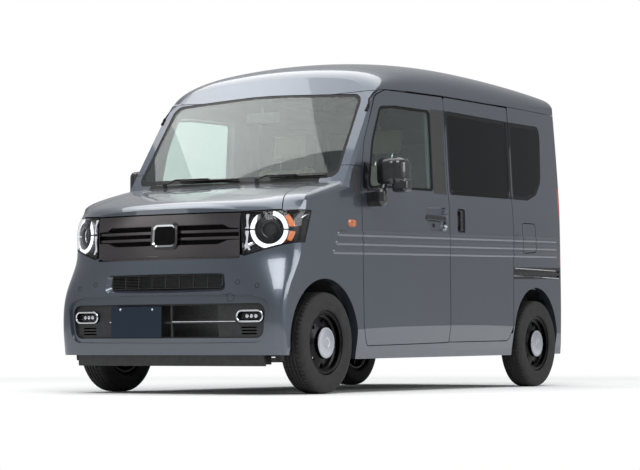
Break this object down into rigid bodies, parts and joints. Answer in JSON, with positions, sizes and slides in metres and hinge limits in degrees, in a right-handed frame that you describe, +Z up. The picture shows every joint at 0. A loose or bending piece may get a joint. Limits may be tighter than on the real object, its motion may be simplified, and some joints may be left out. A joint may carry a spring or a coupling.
{
  "type": "kei van",
  "caption": "Tall boxy kei van with opening doors, hood, tailgate and fuel lid, steered front wheels and a hollow cab and load space.",
  "frame": {"origin": "on the floor, under the middle of the van's length and width", "axes": "+X to the van's left, -Y forward, +Z up"},
  "size_m": [1.8691, 3.3947, 1.9452],
  "materials": {
    "paint": "blue-grey metallic with a clear coat",
    "black_trim": "grained black plastic",
    "dark_chrome": "dark bright metal",
    "lamp": "clear lens over bright reflectors",
    "red_lens": "red lens",
    "glass": "clear, slightly green",
    "dark_glass": "dark privacy glass",
    "tyre": "matt rubber",
    "rim": "black with a silver cap",
    "metal": "dark metal",
    "seat": "woven cloth",
    "led": "white light guide",
    "amber": "amber reflector",
    "clear_lens": "clear outer lens",
    "inner": "painted inner body"
  },
  "bodies": {
    "root": {"body_shell": "inner", "side_frame_left": "inner", "side_frame_right": "inner", "bumper_grilles": "black_trim", "fog_lamps": "lamp", "headlamp_lenses": "clear_lens", "headlamp_rings": "led", "sliding_door_handles": "black_trim", "side_markers": "amber", "wipers": "black_trim", "roof_panel": "paint", "quarter_panel_left": "paint", "quarter_panel_right": "paint", "front_fender_left": "paint", "front_fender_right": "paint", "front_bumper": "paint", "grille": "dark_chrome", "headlamps": "lamp", "windscreen": "glass", "rear_bumper": "paint", "tail_lamps": "red_lens", "sliding_door_left": "paint", "sliding_door_right": "paint", "side_glass": "dark_glass", "slide_rails": "black_trim", "sill_left": "paint", "sill_right": "paint", "engine_block": "metal", "exhaust": "metal", "fuel_tank": "black_trim", "front_suspension": "metal", "rear_axle": "metal", "front_seats": "seat", "rear_seats": "seat", "dashboard": "black_trim", "steering_column": "black_trim"},
    "hood": {"hood": "paint"},
    "door_left": {"door_left": "paint", "door_handle_left": "black_trim", "door_glass_left": "glass", "mirror_left": "black_trim"},
    "door_right": {"door_right": "paint", "door_handle_right": "black_trim", "door_glass_right": "glass", "mirror_right": "black_trim"},
    "tailgate": {"tailgate": "paint", "tailgate_glass": "dark_glass"},
    "fuel_lid": {"fuel_lid": "paint"},
    "steering_wheel": {"steering_wheel": "black_trim"},
    "knuckle_left": {"knuckle_left": "metal"},
    "knuckle_right": {"knuckle_right": "metal"},
    "wheel_front_left": {"tyre_front_left": "tyre", "rim_front_left": "rim"},
    "wheel_front_right": {"tyre_front_right": "tyre", "rim_front_right": "rim"},
    "wheel_rear_left": {"tyre_rear_left": "tyre", "rim_rear_left": "rim"},
    "wheel_rear_right": {"tyre_rear_right": "tyre", "rim_rear_right": "rim"}
  },
  "joints": [
    {"name": "steer_left", "type": "hinge", "parent": "root", "child": "knuckle_left", "pos_m": [0.55, -1.2225, 0.2684], "axis": [0, 0, 1], "range_deg": [-33, 33]},
    {"name": "roll_front_left", "type": "hinge", "parent": "knuckle_left", "child": "wheel_front_left", "pos_m": [0.655, -1.2225, 0.2684], "axis": [1, 0, 0], "continuous": true},
    {"name": "steer_right", "type": "hinge", "parent": "root", "child": "knuckle_right", "pos_m": [-0.55, -1.2225, 0.2684], "axis": [0, 0, 1], "range_deg": [-33, 33]},
    {"name": "roll_front_right", "type": "hinge", "parent": "knuckle_right", "child": "wheel_front_right", "pos_m": [-0.655, -1.2225, 0.2684], "axis": [1, 0, 0], "continuous": true},
    {"name": "roll_rear_left", "type": "hinge", "parent": "root", "child": "wheel_rear_left", "pos_m": [0.655, 1.2975, 0.2684], "axis": [1, 0, 0], "continuous": true},
    {"name": "roll_rear_right", "type": "hinge", "parent": "root", "child": "wheel_rear_right", "pos_m": [-0.655, 1.2975, 0.2684], "axis": [1, 0, 0], "continuous": true},
    {"name": "steering_wheel_turn", "type": "hinge", "parent": "root", "child": "steering_wheel", "pos_m": [-0.33, -0.6625, 0.96], "axis": [0, 0.848, 0.5299], "range_deg": [-495, 495]},
    {"name": "door_left_hinge", "type": "hinge", "parent": "root", "child": "door_left", "pos_m": [0.7375, -0.8765, 0.9], "axis": [0, 0, -1], "range_deg": [0, 70]},
    {"name": "door_right_hinge", "type": "hinge", "parent": "root", "child": "door_right", "pos_m": [-0.7375, -0.8765, 0.9], "axis": [0, 0, 1], "range_deg": [0, 70]},
    {"name": "hood_hinge", "type": "hinge", "parent": "root", "child": "hood", "pos_m": [0, -1.1305, 1.131], "axis": [-1, 0, 0], "range_deg": [0, 55]},
    {"name": "tailgate_hinge", "type": "hinge", "parent": "root", "child": "tailgate", "pos_m": [0, 1.6475, 1.7295], "axis": [1, 0, 0], "range_deg": [0, 80]},
    {"name": "fuel_lid_hinge", "type": "hinge", "parent": "root", "child": "fuel_lid", "pos_m": [0.7365, 1.0805, 0.92], "axis": [0, 0, -1], "range_deg": [0, 90]}
  ],
  "couplings": [
    {"joint": "steer_right", "follows": "steer_left", "ratio": 1},
    {"joint": "steering_wheel_turn", "follows": "steer_left", "ratio": 15}
  ]
}
